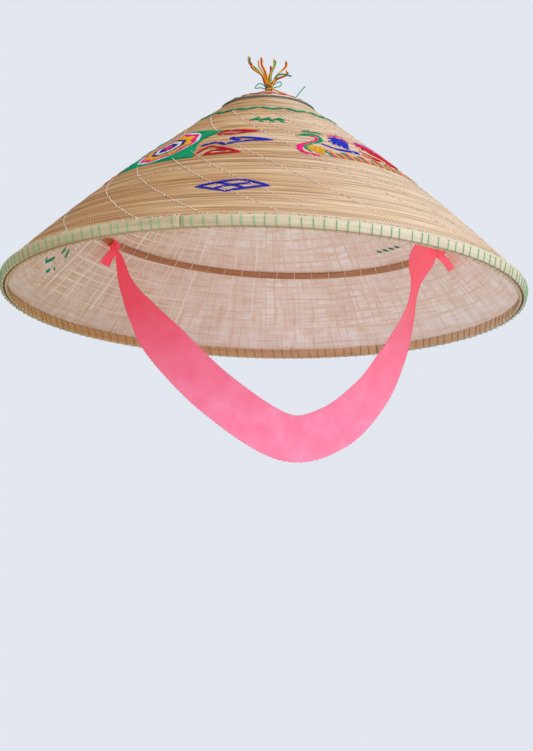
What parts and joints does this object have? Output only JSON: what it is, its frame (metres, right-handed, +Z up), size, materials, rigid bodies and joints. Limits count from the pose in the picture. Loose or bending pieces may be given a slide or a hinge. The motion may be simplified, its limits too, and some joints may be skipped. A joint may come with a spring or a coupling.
{
  "type": "conical hat",
  "caption": "Conical woven sun hat with a laced hoop rim, embroidered cone, capped crown with a thread tassel, and a ribbon chin strap.",
  "frame": {"origin": "centre of the plane that the rim rests on, on the axis of the cone", "axes": "+Z up the axis to the crown, front of the hat towards -Y, +X to the left hand of the wearer"},
  "size_m": [0.3744, 0.3743, 0.2782],
  "materials": {
    "shell_bamboo": "fine woven splints, matt",
    "lining_bamboo": "open plain weave, matt",
    "hoop_bamboo": "split strip, slight sheen",
    "cane_bamboo": "split strip",
    "support_bamboo": "split strip, tan",
    "cap_bamboo": "fine woven splints",
    "ring_thread": "thread-wrapped",
    "lacing_thread": "thread",
    "white_thread": "thread",
    "green_thread": "satin thread",
    "yellow_thread": "satin thread",
    "red_thread": "satin thread",
    "pink_thread": "satin thread",
    "blue_thread": "satin thread",
    "ribbon_fabric": "satin ribbon, coral pink"
  },
  "bodies": {
    "hat": {"bird_body": "red_thread", "bird_breast": "yellow_thread", "bird_ground_bars": "green_thread", "bird_neck": "green_thread", "bird_wing": "blue_thread", "crown_cap": "cap_bamboo", "crown_ring": "ring_thread", "crown_stitches": "red_thread", "flower_ground": "green_thread", "flower_heart": "pink_thread", "flower_petals": "yellow_thread", "flower_ring": "blue_thread", "front_sprig": "green_thread", "inner_lining": "lining_bamboo", "lattice_diamonds_blue": "blue_thread", "lattice_diamonds_green": "green_thread", "leaf_outlines_blue": "blue_thread", "leaf_outlines_red": "red_thread", "outer_shell": "shell_bamboo", "ribbon_knot_left": "ribbon_fabric", "ribbon_knot_right": "ribbon_fabric", "rim_edge_cane": "cane_bamboo", "rim_hoop_inner": "hoop_bamboo", "rim_hoop_outer": "hoop_bamboo", "rim_lacing": "lacing_thread", "spiral_stitches": "white_thread", "support_hoop": "support_bamboo", "support_hoop_stitches": "white_thread", "tassel_knot": "green_thread", "zigzag_border": "green_thread"},
    "ribbon": {"chin_ribbon": "ribbon_fabric"},
    "tail_left": {"ribbon_tail_left": "ribbon_fabric"},
    "tail_right": {"ribbon_tail_right": "ribbon_fabric"},
    "tassel": {"tassel_yellow": "yellow_thread", "tassel_red": "red_thread", "tassel_green": "green_thread"}
  },
  "joints": [
    {"name": "ribbon_swing", "type": "hinge", "parent": "hat", "child": "ribbon", "pos_m": [-0.11092, 0.05946, 0.05396], "axis": [0.9938, -0.1089, -0.0231], "range_deg": [-60, 12]},
    {"name": "tail_left_flap", "type": "hinge", "parent": "hat", "child": "tail_left", "pos_m": [-0.11092, 0.05946, 0.05396], "axis": [-0.4617, -0.887, 0], "range_deg": [-15, 5]},
    {"name": "tail_right_flap", "type": "hinge", "parent": "hat", "child": "tail_right", "pos_m": [0.12762, 0.03333, 0.04841], "axis": [-0.2588, 0.9659, 0], "range_deg": [-15, 5]},
    {"name": "tassel_sway", "type": "hinge", "parent": "hat", "child": "tassel", "pos_m": [0, 0, 0.16164], "axis": [1, 0, 0], "range_deg": [-25, 25], "stiffness_Nm_per_rad": 0.0005}
  ]
}
